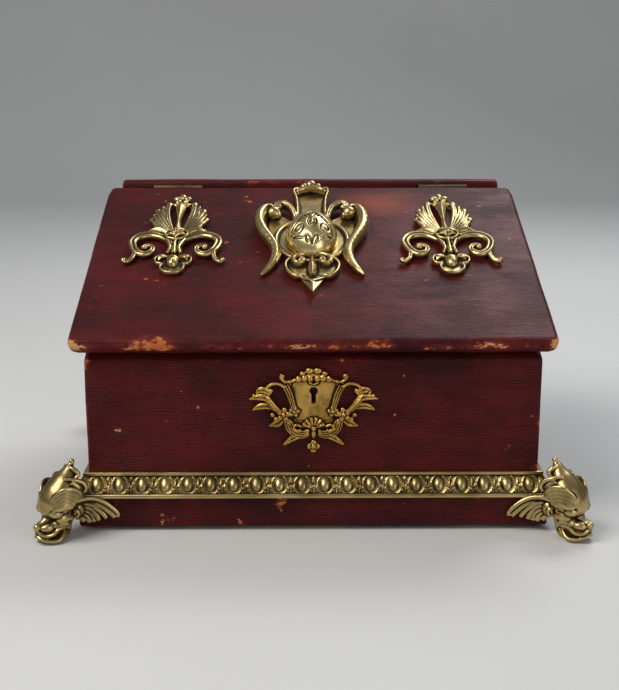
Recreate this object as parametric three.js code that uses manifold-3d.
// A leather-covered jewellery case with a sloping lid, brass mounts and four dolphin feet.
// Millimetres, +Z up. X = 0 is the middle of the width, Y = 0 the middle of the depth, and Z = 0 the
// ground under the feet. The front faces -Y.
import * as THREE from 'three';
import { ConvexGeometry } from 'three/addons/geometries/ConvexGeometry.js';
import { mergeVertices } from 'three/addons/utils/BufferGeometryUtils.js';
import Module from 'manifold-3d';

const wasm = await Module();
wasm.setup();

// ---------------------------------------------------------------- driving sizes

const caseWidth = 280;
const caseDepth = 200;
const frontHeight = 108; // ground to the outer top edge of the front
const lidPitch = THREE.MathUtils.degToRad(20.5);

const wall = 12; // board and leather together
const leather = 0.9;
const glue = 0.1; // gap left at a glued joint
const fit = 0.3; // gap left round a piece that is let into another
const rimRun = 9.6; // width in plan of the bevel on top of the walls
const rimRise = 6.75; // height of that bevel
const bottomBoard = 8;

const plinthLift = 3; // ground to the underside of the plinth
const plinthHeight = 19;
const plinthReveal = 6; // how far the plinth stands out past the walls
const mouldingHeight = 15;
const mouldingOut = 8.75;

const lidThickness = 10;
const lidOverhang = 8.7;
const lidCorner = 7.5;
const lidNose = 4.8; // radius of the rounded edges
const lidGap = 0.3; // between the rim and the lid

const railDepth = 13.5;
const railRise = 5; // rail top above the hinge axis

const hingeX = caseWidth * 0.35; // middle of the case to the middle of a hinge
const hingeLength = 36;
const knuckleRadius = 2.1;
const knuckles = 5;
const knuckleGap = 0.2;
const knuckleDrop = 1.5; // hinge axis below the lid's upper face
const hingeReach = 2.3; // hinge axis to the face of either leaf
const hingePinRadius = 1;
const hingePinClearance = 0.09;
const leafHeight = 9;
const leafThickness = 1.2;
const leafRise = 1; // how far a leaf rises above the hinge axis
const hingeScrewDrop = 5; // hinge axis to a leaf's screws
const hingeScrew = { length: 8, head: 1.8, shank: 0.9 };

const liningThickness = 2;
const padThickness = 5;
const lidPadThickness = 3;
const lidBorder = 27; // width of the bare leather border inside the lid
const leatherLap = 4; // how far that leather reaches in under the pad
const liningDrop = 1.5; // the lining stops this far below the rim

const lockWidth = 46;
const lockHeight = 40;
const lockPlate = 1.2; // thickness of the lock's sheet metal
const lockInset = 9.8; // front of the lock behind the case's front face
const lockDepth = 10.8;
const stapleWidth = 3;
const stapleDepth = 4.6;
const stapleLength = 11;
const stapleStart = 11.2; // front of the staple, along the lid
const eyeDepth = 2.6;
const eyeHeight = 3.6;
const eyeDrop = 8.5; // underside of the lid to the middle of the eye
const boltRadius = 1.1;
const boltLength = 18;
const boltTalonStart = 8; // tip of the bolt to its talon
const boltTalonDrop = 9;
const keyPinRadius = 0.9;
const selvedgeMargin = 3; // how far the lock's top plate reaches past the lock
const strikeMargin = 0.8; // front of the strike plate to the staple

const keyholeZ = 88.8;
const keyholeRadius = 2.6;
const keyholeSlot = 2.6;
const keyholeDrop = 8; // centre of the round part to the foot of the slot

// ---------------------------------------------------------------- sizes that follow from them

const frontY = -caseDepth / 2;
const backY = caseDepth / 2;
const railY = backY - railDepth;
const innerX = caseWidth / 2 - wall;
const innerFrontY = frontY + wall;
const plinthTop = plinthLift + plinthHeight;
const floorTop = plinthTop + bottomBoard;
const slope = Math.tan(lidPitch);
const far = caseWidth + caseDepth; // long enough to pass right through the case

const edgeZ = (y) => frontHeight + slope * (y - frontY); // outer top edge of the side walls
const seatZ = (y) => edgeZ(y) + rimRise; // top of the walls, where the lid rests
const railBase = edgeZ(railY);

const lidOriginZ = seatZ(frontY) + lidGap; // underside of the lid, above the front face
const hingeY = railY - hingeReach;
const hingeHeight = lidThickness - knuckleDrop; // hinge axis above the lid's underside
const hingeZ = lidOriginZ + (hingeHeight + (hingeY - frontY) * Math.sin(lidPitch)) / Math.cos(lidPitch);
const hingeAlong = (hingeY - frontY) * Math.cos(lidPitch) + (hingeZ - lidOriginZ) * Math.sin(lidPitch);
const lidRear = hingeAlong - hingeReach; // rear edge of the lid, along its slope
const railTop = hingeZ + railRise;
const lidFront = (lidNose * (1 + Math.sin(lidPitch)) - lidOverhang) / Math.cos(lidPitch) - lidNose;

// ---------------------------------------------------------------- materials

const finish = (color, roughness, metalness) =>
  new THREE.MeshStandardMaterial({ color, roughness, metalness });
const oxblood = () => finish(0x5a1414, 0.45, 0);
const brass = () => finish(0x9a7f46, 0.35, 1);
const giltBrass = () => finish(0xb08a45, 0.35, 1);
const steel = () => finish(0x77777a, 0.4, 1);
const wood = () => finish(0x8a6440, 0.7, 0);
const velvet = () => finish(0x3b4024, 0.95, 0);

// ---------------------------------------------------------------- solids

function toSolid(geometry) {
  const bare = geometry.index ? geometry.toNonIndexed() : geometry.clone();
  for (const name of Object.keys(bare.attributes)) {
    if (name !== 'position') bare.deleteAttribute(name);
  }
  const merged = mergeVertices(bare, 1e-4);
  return new wasm.Manifold(new wasm.Mesh({
    numProp: 3,
    vertProperties: merged.attributes.position.array,
    triVerts: new Uint32Array(merged.index.array),
  }));
}

function toGeometry(solid) {
  const { vertProperties, triVerts } = solid.getMesh();
  const geometry = new THREE.BufferGeometry();
  geometry.setAttribute('position', new THREE.BufferAttribute(vertProperties, 3));
  geometry.setIndex(new THREE.BufferAttribute(triVerts, 1));
  geometry.computeVertexNormals();
  return geometry;
}

const combine = (first, others, step) =>
  toGeometry(others.reduce((solid, other) => solid[step](toSolid(other)), toSolid(first)));
const join = (first, ...others) => combine(first, others, 'add');
const cut = (first, ...others) => combine(first, others, 'subtract');
const common = (first, ...others) => combine(first, others, 'intersect');

// A box given by its low and high corner.
function block([x0, y0, z0], [x1, y1, z1]) {
  const box = new THREE.BoxGeometry(x1 - x0, y1 - y0, z1 - z0);
  return box.translate((x0 + x1) / 2, (y0 + y1) / 2, (z0 + z1) / 2);
}

// A rod along X, from x0 to x1.
function rodX(radius, x0, x1, y, z, sides = 16) {
  const rod = new THREE.CylinderGeometry(radius, radius, x1 - x0, sides);
  return rod.rotateZ(Math.PI / 2).translate((x0 + x1) / 2, y, z);
}

// A plate standing on the XY plane, its outline given as a shape, with an optional rounded upper edge.
function plate(outline, thickness, round = 0, curveSegments = 6) {
  if (round === 0) {
    return new THREE.ExtrudeGeometry(outline, { depth: thickness, bevelEnabled: false, curveSegments });
  }
  const pillow = new THREE.ExtrudeGeometry(outline, {
    depth: thickness - round,
    bevelThickness: round,
    bevelSize: round,
    bevelOffset: -round,
    bevelSegments: 2,
    curveSegments,
  });
  return common(pillow, block([-far, -far, 0], [far, far, far]));
}

// A closed outline running smoothly through a list of points.
function smoothOutline(points, samples) {
  const vectors = points.map(([x, y]) => new THREE.Vector3(x, y, 0));
  const curve = new THREE.CatmullRomCurve3(vectors, true, 'centripetal');
  const around = curve.getSpacedPoints(samples).slice(0, -1);
  return new THREE.Shape(around.map((p) => new THREE.Vector2(p.x, p.y)));
}

// Both halves of an outline that is symmetric about x = 0: the right half, from top to bottom.
const mirrored = (half) => [
  ...half,
  ...half.filter(([x]) => x > 0).map(([x, y]) => [-x, y]).reverse(),
];

// A tube of elliptical rings along a spine in the XZ plane: [x, z, half width in Y, half height].
function loft(stations, sides = 10) {
  const spine = stations.map(([x, z]) => new THREE.Vector2(x, z));
  const vertices = [];
  stations.forEach(([x, z, wide, high], i) => {
    const before = spine[Math.max(i - 1, 0)];
    const after = spine[Math.min(i + 1, spine.length - 1)];
    const along = after.clone().sub(before).normalize();
    for (let k = 0; k < sides; k += 1) {
      const turn = (2 * Math.PI * k) / sides;
      const up = high * Math.sin(turn);
      vertices.push(x - along.y * up, wide * Math.cos(turn), z + along.x * up);
    }
  });
  const faces = [];
  const last = (stations.length - 1) * sides;
  for (let i = 0; i < last; i += sides) {
    for (let k = 0; k < sides; k += 1) {
      const next = (k + 1) % sides;
      faces.push(i + k, i + next, i + sides + k, i + next, i + sides + next, i + sides + k);
    }
  }
  for (let k = 1; k < sides - 1; k += 1) {
    faces.push(0, k + 1, k, last, last + k, last + k + 1);
  }
  const geometry = new THREE.BufferGeometry();
  geometry.setAttribute('position', new THREE.Float32BufferAttribute(vertices, 3));
  geometry.setIndex(faces);
  const solid = new wasm.Manifold(new wasm.Mesh({
    numProp: 3,
    vertProperties: new Float32Array(vertices),
    triVerts: new Uint32Array(faces),
  }));
  if (solid.volume() < 0) geometry.setIndex(faces.reverse());
  return geometry;
}

// A countersunk wood screw along -Z, its head flush with z = 0, grown all round by a clearance.
function screw(length, headRadius, shankRadius, clearance = 0) {
  const neck = headRadius - shankRadius;
  return new THREE.LatheGeometry([
    new THREE.Vector2(0, -length - clearance),
    new THREE.Vector2(shankRadius + clearance, -length + shankRadius * 2),
    new THREE.Vector2(shankRadius + clearance, -neck),
    new THREE.Vector2(headRadius + clearance, 0),
    new THREE.Vector2(headRadius + clearance, clearance),
    new THREE.Vector2(0, clearance),
  ].filter((p, i, all) => i === 0 || p.distanceTo(all[i - 1]) > 1e-6), 8).rotateX(Math.PI / 2);
}

// ---------------------------------------------------------------- the scene graph

const jewelleryCase = new THREE.Group();
const lid = new THREE.Group(); // X across, Y up the slope, Z off the underside
lid.position.set(0, frontY, lidOriginZ);
lid.rotation.x = lidPitch;
lid.updateMatrix();
jewelleryCase.add(lid);

function add(name, geometry, material, parent = jewelleryCase) {
  const mesh = new THREE.Mesh(geometry, material);
  mesh.name = name;
  parent.add(mesh);
  return mesh;
}

const fromLid = (geometry) => geometry.clone().applyMatrix4(lid.matrix);

const sides = [['left', -1], ['right', 1]];

// ---------------------------------------------------------------- walls

// The outer form of the case, set in by a depth on every face: a box whose top slopes and is bevelled
// all round, with a flat step at the back that carries the rail.
function caseForm(inset, base = plinthTop) {
  const bevel = rimRise / rimRun;
  const lift = bevel * inset - inset * Math.hypot(1, bevel, slope);
  const seatInset = inset * Math.hypot(1, slope);
  const run = (rimRise - seatInset - lift) / bevel;
  const front = frontY + inset;
  const back = backY - inset;
  const corners = [];
  for (const side of [-1, 1]) {
    const x = side * (caseWidth / 2 - inset);
    const seatX = side * (caseWidth / 2 - inset - run);
    corners.push(
      [x, front, base],
      [x, back, base],
      [x, front, edgeZ(front - inset) + slope * inset + lift],
      [x, railY, railBase + lift],
      [x, back, railBase + lift],
      [seatX, front + run, seatZ(front + run) - seatInset],
      [seatX, railY, seatZ(railY) - seatInset],
    );
  }
  const hull = new ConvexGeometry(corners.map((corner) => new THREE.Vector3(...corner)));
  return cut(hull, block([-far, railY, railBase + lift], [far, far, far]));
}

// The keyhole's section, drawn along -Y from a face and deep enough to pass through what stands there.
function keyhole(grow = 0) {
  const shape = new THREE.Shape();
  const radius = keyholeRadius + grow;
  const half = keyholeSlot / 2 + grow;
  const shoulder = Math.asin(half / radius);
  shape.absarc(0, 0, radius, shoulder - Math.PI / 2, 1.5 * Math.PI - shoulder, false);
  shape.lineTo(-half, -keyholeDrop - grow);
  shape.lineTo(half, -keyholeDrop - grow);
  return shape;
}
const keyholeCut = (grow = 0) =>
  plate(keyhole(grow), lockInset + lockPlate + lidOverhang).rotateX(Math.PI / 2)
    .translate(0, frontY + lockInset + lockPlate + fit, keyholeZ);

const lockTop = seatZ(frontY + lockInset) - leather - lockPlate;
const lockBase = lockTop - lockHeight;
const lockFrontY = frontY + lockInset;
const lockBackY = lockFrontY + lockDepth;

// Room in the front board for the lock, its top plate and the staple.
const lockPocket = block(
  [-lockWidth / 2 - glue, lockFrontY - glue, lockBase - glue],
  [lockWidth / 2 + glue, innerFrontY + wall, lockTop + glue],
);
const selvedgeHalf = lockWidth / 2 + selvedgeMargin;
const selvedgeStart = stapleStart - selvedgeMargin / 2;
const selvedgeEnd = stapleStart + stapleDepth + (selvedgeMargin * 2) / 3;
const selvedgeRoom = fromLid(block(
  [-selvedgeHalf - glue, selvedgeStart - glue, -lidGap * 2 - lockPlate - glue],
  [selvedgeHalf + glue, selvedgeEnd + wall, lidThickness],
));
// The staple's tip swings forward a little as it is lifted out.
const stapleReach = hingeAlong - stapleStart;
const liftTurn = stapleLength / stapleReach;
const stapleSwing = (stapleLength + hingeHeight) * liftTurn - (stapleReach * liftTurn ** 2) / 2;
const stapleRoom = fromLid(block(
  [-stapleWidth / 2 - fit * 2, stapleStart - fit - stapleSwing, -stapleLength - fit],
  [stapleWidth / 2 + fit * 2, stapleStart + stapleDepth + fit * 2, lidThickness],
));

function addWalls() {
  const timber = caseForm(leather + glue);
  const gap = glue / 2;
  const front = common(timber, block([-far, -far, 0], [far, innerFrontY - gap, far]));
  add('front_board', cut(front, lockPocket, selvedgeRoom, stapleRoom, keyholeCut(), ...pinHoles()), wood());
  add('back_board', common(timber, block([-far, railY + gap, 0], [far, far, far])), wood());
  for (const [side, sign] of sides) {
    const inner = sign * innerX;
    const outer = sign * far;
    const reach = [Math.min(inner, outer), Math.max(inner, outer)];
    const zone = block([reach[0], innerFrontY + gap, 0], [reach[1], railY - gap, far]);
    add(`${side}_board`, common(timber, zone), wood());
  }
  const floor = block(
    [-innerX + glue, innerFrontY + glue, plinthTop + glue],
    [innerX - glue, railY - glue, floorTop],
  );
  add('bottom_board', floor, wood());

  const inside = block([-innerX, innerFrontY, 0], [innerX, railY, far]);
  const cover = cut(
    caseForm(0, plinthTop + glue),
    caseForm(leather, 0),
    inside,
    selvedgeRoom,
    stapleRoom,
    keyholeCut(),
    ...pinHoles(),
  );
  add('case_leather', cover, oxblood());
}

function addRail() {
  const round = 2.5;
  const top = railTop - railBase;
  const profile = new THREE.Shape();
  profile.moveTo(0, 0);
  profile.lineTo(railDepth, 0);
  profile.lineTo(railDepth, top - round);
  profile.absarc(railDepth - round, top - round, round, 0, Math.PI / 2, false);
  profile.absarc(round / 2, top - round / 2, round / 2, Math.PI / 2, Math.PI, false);
  const bar = plate(profile, caseWidth).rotateX(Math.PI / 2).rotateZ(Math.PI / 2)
    .translate(-caseWidth / 2, railY, railBase + glue);
  const rooms = sides.flatMap(([, sign]) => [railLeafRoom(sign), ...leafScrews(sign, 'rail', glue)]);
  add('back_rail', cut(bar, ...rooms), oxblood());
}

// ---------------------------------------------------------------- plinth and moulding

function addPlinth() {
  const halfX = caseWidth / 2 + plinthReveal;
  const halfY = caseDepth / 2 + plinthReveal;
  const slab = (inset, low, high) => block(
    [-halfX + inset, -halfY + inset, low],
    [halfX - inset, halfY - inset, high],
  );
  const screws = footPlaces.map(({ x, y, turn }) => footScrew(glue).rotateZ(turn).translate(x, y, 0));
  add('plinth_board', cut(slab(leather + glue, plinthLift, plinthTop), ...screws), wood());
  add('plinth_leather', cut(slab(0, plinthLift, plinthTop), slab(leather, 0, far)), oxblood());
}

// One length of moulding: its section is carried along X, mitred at both ends, and faces -Y.
function mouldingBar(length) {
  const section = new THREE.Shape();
  const top = mouldingHeight;
  const out = mouldingOut;
  section.moveTo(glue, 0);
  section.lineTo(out, 0);
  section.lineTo(out, top * 0.15);
  section.quadraticCurveTo(out * 0.92, top * 0.3, out * 0.8, top * 0.45);
  section.quadraticCurveTo(out * 0.62, top * 0.7, out * 0.52, top * 0.84);
  section.lineTo(out * 0.6, top * 0.88);
  section.lineTo(out * 0.6, top);
  section.lineTo(glue, top);
  const bar = new THREE.ExtrudeGeometry(section, { depth: 1, bevelEnabled: false, curveSegments: 4 });
  const place = bar.attributes.position;
  for (let i = 0; i < place.count; i += 1) {
    const reach = place.getX(i);
    const end = place.getZ(i) > 0.5 ? -1 : 1;
    place.setXYZ(i, end * (length / 2 + reach - fit / 2), -reach, place.getY(i));
  }
  return bar;
}

function addMouldings() {
  const runs = [
    ['front', 0, caseWidth, caseDepth],
    ['right', 1, caseDepth, caseWidth],
    ['back', 2, caseWidth, caseDepth],
    ['left', 3, caseDepth, caseWidth],
  ];
  for (const [side, quarter, length, across] of runs) {
    const turn = (quarter * Math.PI) / 2;
    const bar = add(`moulding_${side}`, mouldingBar(length), brass());
    bar.position.set(Math.sin(turn) * across / 2, -Math.cos(turn) * across / 2, plinthTop + glue);
    bar.rotation.z = turn;
  }
}

// ---------------------------------------------------------------- dolphin feet

// Each foot is modelled at a corner of the plinth, with the corner at the origin and the case lying
// towards -X and -Y. Quarter turns take it to the other corners.
const footPlaces = [
  ['back_right', 1, 1, 0],
  ['back_left', -1, 1, 1],
  ['front_left', -1, -1, 2],
  ['front_right', 1, -1, 3],
].map(([name, signX, signY, quarter]) => ({
  name,
  x: signX * (caseWidth / 2 + plinthReveal),
  y: signY * (caseDepth / 2 + plinthReveal),
  turn: (quarter * Math.PI) / 2,
}));

const lugThickness = 2.1;
const wingThickness = 5;
const wingRound = 1.6;
const lugBase = plinthLift - fit - lugThickness;
const footScrewIn = 8; // foot screw in from both faces of the plinth
const footScrew = (clearance = 0) =>
  screw(13, 3, 1.5, clearance).rotateX(Math.PI).translate(-footScrewIn, -footScrewIn, lugBase);

// The wing that lies along one face of the plinth. Its outline runs back from the corner and up.
function footWing(direction) {
  const outline = smoothOutline([
    [-7, 31], [2, 28], [9, 25.5], [15, 24], [21, 20.5], [26.5, 15],
    [20, 13], [14, 9.6], [6, 7.5], [-7, 6],
  ].map(([back, up]) => [direction * back, up]), 20);
  return plate(outline, wingThickness, wingRound).rotateX(Math.PI / 2)
    .rotateZ(direction > 0 ? Math.PI : Math.PI / 2)
    .translate(direction > 0 ? 0 : fit, direction > 0 ? fit : 0, 0);
}

// The triangular lug under the plinth that the foot's screw goes through.
function footLug() {
  const outline = new THREE.Shape([
    [7, 7], [-22, 1], [-22, -4], [-4, -22], [1, -22],
  ].map(([x, y]) => new THREE.Vector2(x, y)));
  return plate(outline, lugThickness).translate(0, 0, lugBase);
}

function footForm() {
  const head = [
    [3, 47.5, 1.8, 1.8], [4.5, 45, 3.2, 3], [6, 41.5, 3.2, 3], [8, 38, 5, 4.5], [11, 33.5, 8, 6.5],
    [15, 27.5, 11.5, 8.5], [19, 20.5, 13.5, 9.5], [23, 14, 12, 8], [27.5, 10.2, 7.5, 5.5],
    [31, 8.8, 4, 3.6], [34, 8.8, 3.6, 3.4], [36, 8.8, 1.6, 1.5],
  ];
  const jaw = [
    [2, 9, 8, 6], [8, 7, 9.5, 6.4], [15, 4.6, 9, 5.6], [22, 3.2, 7, 4.4], [27, 3.2, 4.4, 3.2],
    [29.5, 4, 2, 1.8],
  ];
  const trunk = [[3, 6, 7, 4.5], [6, 10, 10, 8], [8, 20, 11, 10], [6, 32, 8, 7], [5, 39, 3.5, 3.5]];
  const bodies = [jaw, trunk].map((stations) => loft(stations).rotateZ(Math.PI / 4));
  const mouldingReach = mouldingOut - plinthReveal + fit;
  const rooms = [
    [fit, plinthLift - fit, plinthTop + fit],
    [mouldingReach, plinthTop - fit, plinthTop + glue + mouldingHeight + fit],
    [fit - plinthReveal, plinthTop, far],
  ].map(([reach, low, high]) => block([-far, -far, low], [reach, reach, high]));
  const ground = block([-far, -far, -far], [far, far, 0]);
  const whole = join(loft(head).rotateZ(Math.PI / 4), ...bodies, footWing(1), footWing(-1));
  return cut(join(cut(whole, ...rooms), footLug()), ground, footScrew(glue));
}

function addFeet() {
  const form = footForm();
  const screwForm = footScrew();
  for (const { name, x, y, turn } of footPlaces) {
    const pieces = [
      add(`foot_${name}`, form, brass()),
      add(`foot_screw_${name}`, screwForm, steel()),
    ];
    for (const piece of pieces) {
      piece.position.set(x, y, 0);
      piece.rotation.z = turn;
    }
  }
}

// ---------------------------------------------------------------- escutcheon

const pinShank = 0.6;
const pinLength = 9;

// A round-headed brass pin driven in along +Y, its head standing off y = 0 towards -Y.
function pin(headRadius, clearance = 0) {
  const shank = pinShank + clearance;
  const length = pinLength;
  const profile = [[0, -length - clearance], [shank, -length + 1]];
  const hole = [[shank, length], [0, length]];
  const head = [[headRadius, 0], [headRadius * 0.75, headRadius * 0.4], [0, headRadius * 0.6]];
  profile.push(...(clearance > 0 ? hole : [[shank, 0], ...head]));
  return new THREE.LatheGeometry(profile.map(([x, y]) => new THREE.Vector2(x, y)), 8).rotateX(Math.PI);
}

const escutcheonThickness = 3;
const escutcheonPins = [
  { name: 'escutcheon_pin_left', x: -26, z: 1, head: 1.5, stand: glue * 2 + escutcheonThickness },
  { name: 'escutcheon_pin_right', x: 26, z: 1, head: 1.5, stand: glue * 2 + escutcheonThickness },
  { name: 'escutcheon_floret', x: 0, z: -35.5, head: 3.4, stand: glue },
].map((place) => ({ ...place, y: frontY - place.stand, z: keyholeZ + place.z }));
const pinHoles = () => escutcheonPins.map(({ x, y, z, head }) => pin(head, glue).translate(x, y, z));

function addEscutcheon() {
  const outline = smoothOutline(mirrored([
    [0, 15.3], [6.5, 12.5], [10, 8.5], [18.5, 11.5], [22, 6], [30, 4.5], [33, 0], [39, -3], [37, -11],
    [29, -13], [26, -21.5], [20, -24], [19, -32], [12, -27], [0, -28.5],
  ]), 56);
  const relief = plate(outline, escutcheonThickness, 1).rotateX(Math.PI / 2)
    .translate(0, frontY - glue, keyholeZ);
  add('escutcheon', cut(relief, keyholeCut(), ...pinHoles()), giltBrass());
  for (const { name, x, y, z, head } of escutcheonPins) {
    add(name, pin(head).translate(x, y, z), giltBrass());
  }
}

// ---------------------------------------------------------------- lid

const lidWidth = caseWidth + 2 * lidOverhang;

// The lid's slab with its edges rounded and its rear edge square, set in by a depth on every face.
function lidForm(inset) {
  const halfX = lidWidth / 2 - inset;
  const start = lidFront + inset;
  const end = lidRear - inset;
  const radius = lidCorner - inset;
  const nose = lidNose - inset;
  const outline = new THREE.Shape();
  outline.moveTo(halfX, end + lidNose * 2);
  outline.lineTo(-halfX, end + lidNose * 2);
  outline.absarc(-halfX + radius, start + radius, radius, Math.PI, 1.5 * Math.PI, false);
  outline.absarc(halfX - radius, start + radius, radius, 1.5 * Math.PI, 2 * Math.PI, false);
  const thickness = lidThickness - 2 * inset;
  const slab = new THREE.ExtrudeGeometry(outline, {
    depth: thickness - 2 * nose,
    bevelThickness: nose,
    bevelSize: nose,
    bevelOffset: -nose,
    bevelSegments: 3,
    curveSegments: 4,
  }).translate(0, 0, nose + inset);
  return cut(slab, block([-far, end, -far], [far, far, far]));
}

const lidPadRange = {
  x: lidWidth / 2 - lidBorder,
  front: lidFront + lidBorder,
  rear: lidRear - lidBorder,
};
const lidBlock = (shrink, low, high) => block(
  [-lidPadRange.x + shrink, lidPadRange.front + shrink, low],
  [lidPadRange.x - shrink, lidPadRange.rear - shrink, high],
);

const strikeHalf = 14;
const strikeDepth = 11.5;
const strikeStart = stapleStart - strikeMargin;
const strikeRoom = () => block(
  [-strikeHalf - glue, strikeStart - glue, -glue],
  [strikeHalf + glue, strikeStart + strikeDepth + glue, lockPlate + glue],
);

function addLid() {
  const hinges = sides.flatMap(([, sign]) => [lidLeafRoom(sign), ...leafScrews(sign, 'lid', glue)]);
  const board = cut(lidForm(leather + glue), strikeRoom(), ...hinges);
  add('lid_board', board, wood(), lid);
  const opening = lidBlock(leatherLap, -lidThickness, lidThickness / 2);
  add('lid_leather', cut(lidForm(0), lidForm(leather), opening, strikeRoom(), ...hinges), oxblood(), lid);
  add('lid_pad', lidBlock(0, -lidPadThickness, -glue), velvet(), lid);
}

function addStrike() {
  const sheet = block(
    [-strikeHalf, strikeStart, 0],
    [strikeHalf, strikeStart + strikeDepth, lockPlate],
  );
  const staple = block(
    [-stapleWidth / 2, stapleStart, -stapleLength],
    [stapleWidth / 2, stapleStart + stapleDepth, lockPlate / 2],
  );
  const middle = stapleStart + stapleDepth / 2;
  const eye = block(
    [-stapleWidth, middle - eyeDepth / 2, -eyeDrop - eyeHeight / 2],
    [stapleWidth, middle + eyeDepth / 2, -eyeDrop + eyeHeight / 2],
  );
  add('strike_plate', cut(join(sheet, staple), eye), brass(), lid);
}

// ---------------------------------------------------------------- lid ornaments

const ornamentLevel = lidThickness + glue;
const drawnLidLength = 204.7; // the outlines below are drawn for a lid of this length
const ornamentScale = (lidRear - lidFront) / drawnLidLength;
const ornamentMiddle = lidFront + (lidRear - lidFront) * 0.6066; // along the lid's slope
const palmetteX = caseWidth * 0.3286;
const palmetteThickness = 4.5;

const oval = (x, y, radiusX, radiusY) =>
  new THREE.Path().absellipse(x, y, radiusX, radiusY, 0, 2 * Math.PI, false, 0);

function addPalmettes() {
  const outline = smoothOutline(mirrored([
    [0, 60.5], [5, 56], [8, 48], [12, 44], [16.5, 36], [17, 30], [19, 22], [14, 15], [9, 11], [13, 7],
    [22, 7], [29, 1], [32, -8], [28.5, -17], [34.5, -29], [29, -34.5], [20, -26], [14, -20], [10, -24],
    [12.5, -31], [8.5, -42], [0, -47],
  ]), 64);
  outline.holes.push(oval(-5.8, 27, 2.6, 8), oval(5.8, 27, 2.6, 8));
  const form = plate(outline, palmetteThickness, 1.5, 4).scale(ornamentScale, ornamentScale, 1);
  for (const [side, sign] of sides) {
    const piece = add(`palmette_${side}`, form, brass(), lid);
    piece.position.set(sign * palmetteX, ornamentMiddle, ornamentLevel);
  }
}

const cartoucheThickness = 3;
const domeHalfWidth = 17.5;
const domeHeight = 16;
const domeStretch = 1.25; // how much longer than wide the dome is
const domeDrop = 5; // middle of the ornaments to the middle of the dome

function addCartouche() {
  const outline = smoothOutline(mirrored([
    [0, 77], [6, 74], [8.5, 67], [12, 61], [11, 50], [10.5, 41], [16, 37], [21, 42], [27, 40], [36, 27],
    [39, 13.5], [36, 0], [29, -15], [27, -28], [34.5, -41], [34, -52], [25, -43], [19, -35], [18, -46],
    [13, -57], [8, -56], [5, -64], [0, -74.5],
  ]), 76);
  outline.holes.push(oval(-28, 16, 3.2, 11), oval(28, 16, 3.2, 11));
  const form = plate(outline, cartoucheThickness, 1, 4).scale(ornamentScale, ornamentScale, 1);
  const relief = add('cartouche', form, brass(), lid);
  relief.position.set(0, ornamentMiddle, ornamentLevel);

  const quarter = new THREE.EllipseCurve(0, 0, domeHalfWidth, domeHeight, 0, Math.PI / 2).getPoints(6);
  const dome = new THREE.LatheGeometry([new THREE.Vector2(0, 0), ...quarter], 20)
    .rotateX(Math.PI / 2).scale(ornamentScale, domeStretch * ornamentScale, 1);
  const boss = add('cartouche_dome', dome, brass(), lid);
  const domeMiddle = ornamentMiddle - domeDrop * ornamentScale;
  boss.position.set(0, domeMiddle, ornamentLevel + cartoucheThickness + glue);
}

// ---------------------------------------------------------------- hinges

// Everything a leaf is made of, in the frame of the board it is let into. The board's face lies at
// reach = hingeReach from the axis, on the side that toBoard points to along Y.
function leafForm(sign, axisY, axisZ, toBoard, first) {
  const start = sign * hingeX - hingeLength / 2;
  const end = start + hingeLength;
  const face = axisY + toBoard * hingeReach;
  const span = (a, b) => [Math.min(a, b), Math.max(a, b)];
  const [sheetLow, sheetHigh] = span(face, face + toBoard * leafThickness);
  const top = axisZ + leafRise;
  const sheet = block([start, sheetLow, top - leafHeight], [end, sheetHigh, top]);
  const [webLow, webHigh] = span(axisY, face + (toBoard * leafThickness) / 2);
  const step = hingeLength / knuckles;
  const parts = [];
  for (let i = first; i < knuckles; i += 2) {
    const low = start + i * step + knuckleGap / 2;
    const high = low + step - knuckleGap;
    parts.push(rodX(knuckleRadius, low, high, axisY, axisZ));
    parts.push(block([low, webLow, axisZ - leafRise], [high, webHigh, top]));
  }
  const bore = rodX(hingePinRadius + hingePinClearance, start - 1, end + 1, axisY, axisZ);
  return cut(join(sheet, ...parts), bore);
}

const railLeafRoom = (sign) => block(
  [sign * hingeX - hingeLength / 2 - glue, hingeY, hingeZ + leafRise - leafHeight - glue],
  [sign * hingeX + hingeLength / 2 + glue, railY + leafThickness + glue, hingeZ + leafRise + glue],
);
const lidLeafTop = hingeHeight + leafRise;
const lidLeafRoom = (sign) => block(
  [sign * hingeX - hingeLength / 2 - glue, lidRear - leafThickness - glue, lidLeafTop - leafHeight - glue],
  [sign * hingeX + hingeLength / 2 + glue, hingeAlong, lidLeafTop + glue],
);

// The two screws of one leaf, in the frame of its board.
function leafScrews(sign, board, clearance = 0) {
  return [-1, 1].map((step) => {
    const x = sign * hingeX + (step * hingeLength) / 3;
    const form = screw(hingeScrew.length, hingeScrew.head, hingeScrew.shank, clearance);
    if (board === 'rail') return form.rotateX(Math.PI / 2).translate(x, railY, hingeZ - hingeScrewDrop);
    return form.rotateX(-Math.PI / 2).translate(x, lidRear, hingeHeight - hingeScrewDrop);
  });
}

function addHinges() {
  for (const [side, sign] of sides) {
    const boards = [
      ['rail', leafForm(sign, hingeY, hingeZ, 1, 0), jewelleryCase],
      ['lid', leafForm(sign, hingeAlong, hingeHeight, -1, 1), lid],
    ];
    for (const [board, leaf, parent] of boards) {
      add(`hinge_${board}_leaf_${side}`, cut(leaf, ...leafScrews(sign, board, glue)), brass(), parent);
      leafScrews(sign, board).forEach((form, i) => {
        add(`hinge_${board}_screw_${side}_${i + 1}`, form, brass(), parent);
      });
    }
    const half = hingeLength / 2;
    const hingePin = rodX(hingePinRadius, sign * hingeX - half, sign * hingeX + half, hingeY, hingeZ);
    add(`hinge_pin_${side}`, hingePin, steel());
  }
}

// ---------------------------------------------------------------- lock

const stapleMiddle = stapleStart + stapleDepth / 2;
const boltY = frontY + stapleMiddle * Math.cos(lidPitch) + eyeDrop * Math.sin(lidPitch);
const boltZ = lidOriginZ + stapleMiddle * Math.sin(lidPitch) - eyeDrop * Math.cos(lidPitch);

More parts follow.
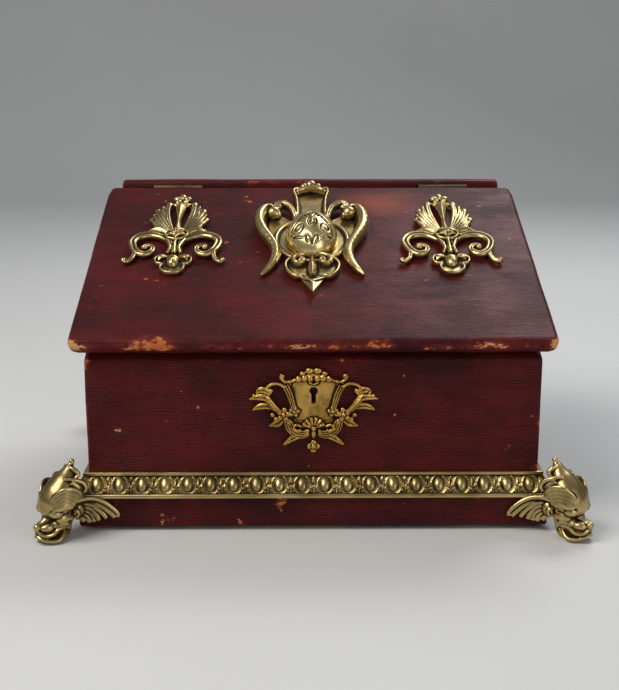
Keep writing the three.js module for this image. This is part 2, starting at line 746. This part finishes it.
function addLock() {
  const half = lockWidth / 2;
  const shell = block([-half, lockFrontY, lockBase], [half, lockBackY, lockTop]);
  const hollow = block(
    [-half + lockPlate, lockFrontY + lockPlate, lockBase + lockPlate],
    [half - lockPlate, lockBackY - lockPlate, lockTop - lockPlate],
  );
  add('lock_case', cut(shell, hollow, stapleRoom, keyholeCut()), steel());

  const selvedge = fromLid(block(
    [-selvedgeHalf, selvedgeStart, -lidGap * 2 - lockPlate],
    [selvedgeHalf, selvedgeEnd, -lidGap * 2],
  ));
  add('lock_selvedge', cut(selvedge, stapleRoom), brass());

  const nose = -stapleWidth / 2 - strikeMargin; // the bolt drawn back, its tip clear of the staple
  const tail = nose - boltLength;
  const shot = rodX(boltRadius, tail, nose, boltY, boltZ);
  const talon = block(
    [tail, boltY - boltRadius * 0.7, boltZ - boltTalonDrop],
    [nose - boltTalonStart, boltY + boltRadius * 0.7, boltZ],
  );
  add('lock_bolt', join(shot, talon), steel());

  const post = new THREE.CylinderGeometry(keyPinRadius, keyPinRadius, lockDepth - lockPlate * 2 - 1, 12)
    .translate(0, (lockFrontY + lockBackY) / 2 + 0.5, keyholeZ);
  add('lock_key_pin', post, steel());
}

// ---------------------------------------------------------------- lining

function addLining() {
  const gap = glue;
  const t = liningThickness;
  const low = floorTop + gap;
  const top = (y) => seatZ(y) - liningDrop;

  const sheet = new THREE.Shape();
  sheet.moveTo(innerFrontY + gap, low);
  sheet.lineTo(railY - gap, low);
  sheet.lineTo(railY - gap, Math.min(top(railY - gap), railBase));
  sheet.lineTo(innerFrontY + gap, top(innerFrontY));
  for (const [side, sign] of sides) {
    const panel = plate(sheet, t).rotateX(Math.PI / 2).rotateZ(Math.PI / 2);
    panel.translate(sign > 0 ? innerX - gap - t : -innerX + gap, 0, 0);
    add(`lining_${side}`, panel, velvet());
  }

  const across = innerX - gap * 2 - t;
  const front = block(
    [-across, innerFrontY + gap, low],
    [across, innerFrontY + gap + t, top(innerFrontY)],
  );
  const notch = block(
    [-selvedgeHalf - fit, innerFrontY, lockBase - fit],
    [selvedgeHalf + fit, innerFrontY + wall, far],
  );
  add('lining_front', cut(front, notch), velvet());
  add('lining_back', block([-across, railY - gap - t, low], [across, railY - gap, railBase]), velvet());
  const floorPad = block(
    [-across + gap, innerFrontY + gap * 2 + t, low],
    [across - gap, railY - gap * 2 - t, low + padThickness],
  );
  add('floor_pad', floorPad, velvet());
}

// ---------------------------------------------------------------- the whole case

addPlinth();
addMouldings();
addFeet();
addWalls();
addRail();
addEscutcheon();
addLid();
addStrike();
addPalmettes();
addCartouche();
addHinges();
addLock();
addLining();

export default jewelleryCase;
